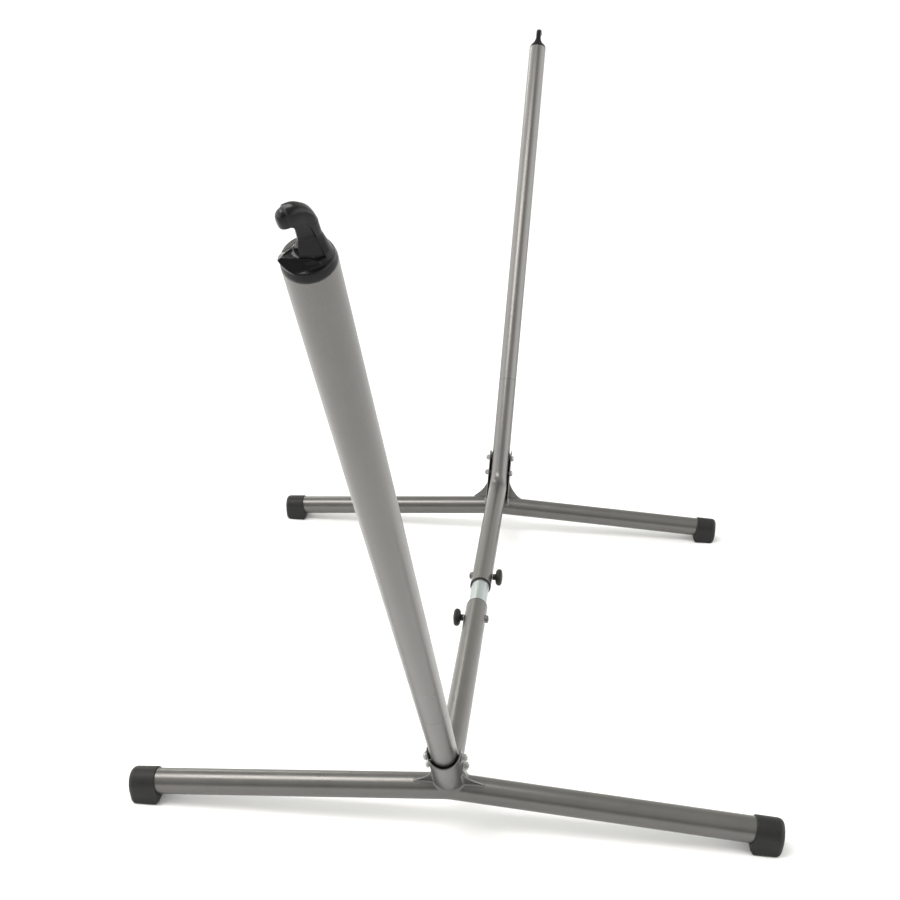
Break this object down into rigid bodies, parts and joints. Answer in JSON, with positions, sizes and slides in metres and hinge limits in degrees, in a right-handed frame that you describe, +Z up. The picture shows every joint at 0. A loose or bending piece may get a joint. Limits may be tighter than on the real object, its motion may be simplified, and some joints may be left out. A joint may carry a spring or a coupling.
{
  "type": "hammock stand",
  "caption": "Free-standing steel hammock stand with a telescoping spine, two raked arms on splayed feet, screw clamps and swivelling open hooks.",
  "frame": {"origin": "on the floor, midway between the two feet", "axes": "+X along the stand's length towards the front arm, +Y to the right when facing +X, +Z up"},
  "size_m": [2.959, 1.252, 1.3319],
  "materials": {
    "grey_powder_coat": "satin, fine metallic speckle",
    "spreader_steel": "satin, zinc plated",
    "hook_plastic": "glossy, moulded",
    "knob_plastic": "pebbled, moulded",
    "black_nylon": "matte, moulded",
    "cap_rubber": "matte, moulded",
    "zinc_fastener": "bright zinc plated"
  },
  "bodies": {
    "rear_base": {"rear_foot_tube": "grey_powder_coat", "rear_left_foot_cap": "cap_rubber", "rear_right_foot_cap": "cap_rubber", "rear_saddle_bracket": "grey_powder_coat", "rear_saddle_gussets": "grey_powder_coat", "rear_saddle_bolts": "zinc_fastener", "rear_saddle_nuts": "zinc_fastener", "rear_saddle_washers": "zinc_fastener", "rear_saddle_spacers": "black_nylon", "rear_lower_arm_tube": "grey_powder_coat", "rear_guide_bush": "black_nylon", "rear_weld_nut": "grey_powder_coat"},
    "front_base": {"front_foot_tube": "grey_powder_coat", "front_left_foot_cap": "cap_rubber", "front_right_foot_cap": "cap_rubber", "front_saddle_bracket": "grey_powder_coat", "front_saddle_gussets": "grey_powder_coat", "front_saddle_bolts": "zinc_fastener", "front_saddle_nuts": "zinc_fastener", "front_saddle_washers": "zinc_fastener", "front_saddle_spacers": "black_nylon", "front_lower_arm_tube": "grey_powder_coat", "front_guide_bush": "black_nylon", "front_weld_nut": "grey_powder_coat"},
    "spreader": {"spreader_tube": "spreader_steel", "front_spreader_glide": "black_nylon", "rear_spreader_glide": "black_nylon"},
    "front_upper_arm": {"front_upper_arm_tube": "grey_powder_coat"},
    "front_hook_swivel": {"front_hook": "hook_plastic"},
    "front_clamp_thrust": {"front_clamp_washer": "zinc_fastener"},
    "front_clamp_screw": {"front_clamp_knob": "knob_plastic", "front_clamp_stud": "zinc_fastener"},
    "rear_upper_arm": {"rear_upper_arm_tube": "grey_powder_coat"},
    "rear_hook_swivel": {"rear_hook": "hook_plastic"},
    "rear_clamp_thrust": {"rear_clamp_washer": "zinc_fastener"},
    "rear_clamp_screw": {"rear_clamp_knob": "knob_plastic", "rear_clamp_stud": "zinc_fastener"}
  },
  "joints": [
    {"name": "rear_spine_slide", "type": "slide", "parent": "rear_base", "child": "spreader", "axis": [1, 0, 0], "range_m": [-0.04, 0.1]},
    {"name": "front_spine_slide", "type": "slide", "parent": "spreader", "child": "front_base", "axis": [1, 0, 0], "range_m": [-0.04, 0.1]},
    {"name": "front_arm_slide", "type": "slide", "parent": "front_base", "child": "front_upper_arm", "axis": [0.5676, -0.0268, 0.8228], "range_m": [0, 0.12]},
    {"name": "front_hook_swivel_turn", "type": "hinge", "parent": "front_upper_arm", "child": "front_hook_swivel", "pos_m": [1.43169, -0.03739, 1.27604], "axis": [0.5676, -0.0268, 0.8228], "continuous": true},
    {"name": "front_clamp_travel", "type": "slide", "parent": "front_base", "child": "front_clamp_thrust", "axis": [0, -1, 0], "range_m": [0, 0.0042]},
    {"name": "front_clamp_turn", "type": "hinge", "parent": "front_clamp_thrust", "child": "front_clamp_screw", "pos_m": [0.0994, 0, 0.129], "axis": [0, -1, 0], "range_deg": [0, 1080]},
    {"name": "rear_arm_slide", "type": "slide", "parent": "rear_base", "child": "rear_upper_arm", "axis": [-0.5676, 0.0268, 0.8228], "range_m": [0, 0.12]},
    {"name": "rear_hook_swivel_turn", "type": "hinge", "parent": "rear_upper_arm", "child": "rear_hook_swivel", "pos_m": [-1.43169, 0.03739, 1.27604], "axis": [-0.5676, 0.0268, 0.8228], "continuous": true},
    {"name": "rear_clamp_travel", "type": "slide", "parent": "rear_base", "child": "rear_clamp_thrust", "axis": [0, 1, 0], "range_m": [0, 0.0042]},
    {"name": "rear_clamp_turn", "type": "hinge", "parent": "rear_clamp_thrust", "child": "rear_clamp_screw", "pos_m": [-0.0994, 0, 0.129], "axis": [0, 1, 0], "range_deg": [0, 1080]}
  ],
  "couplings": [
    {"joint": "front_clamp_travel", "follows": "front_clamp_turn", "m_per_rad": 0.00019894},
    {"joint": "rear_clamp_travel", "follows": "rear_clamp_turn", "m_per_rad": 0.00019894}
  ]
}
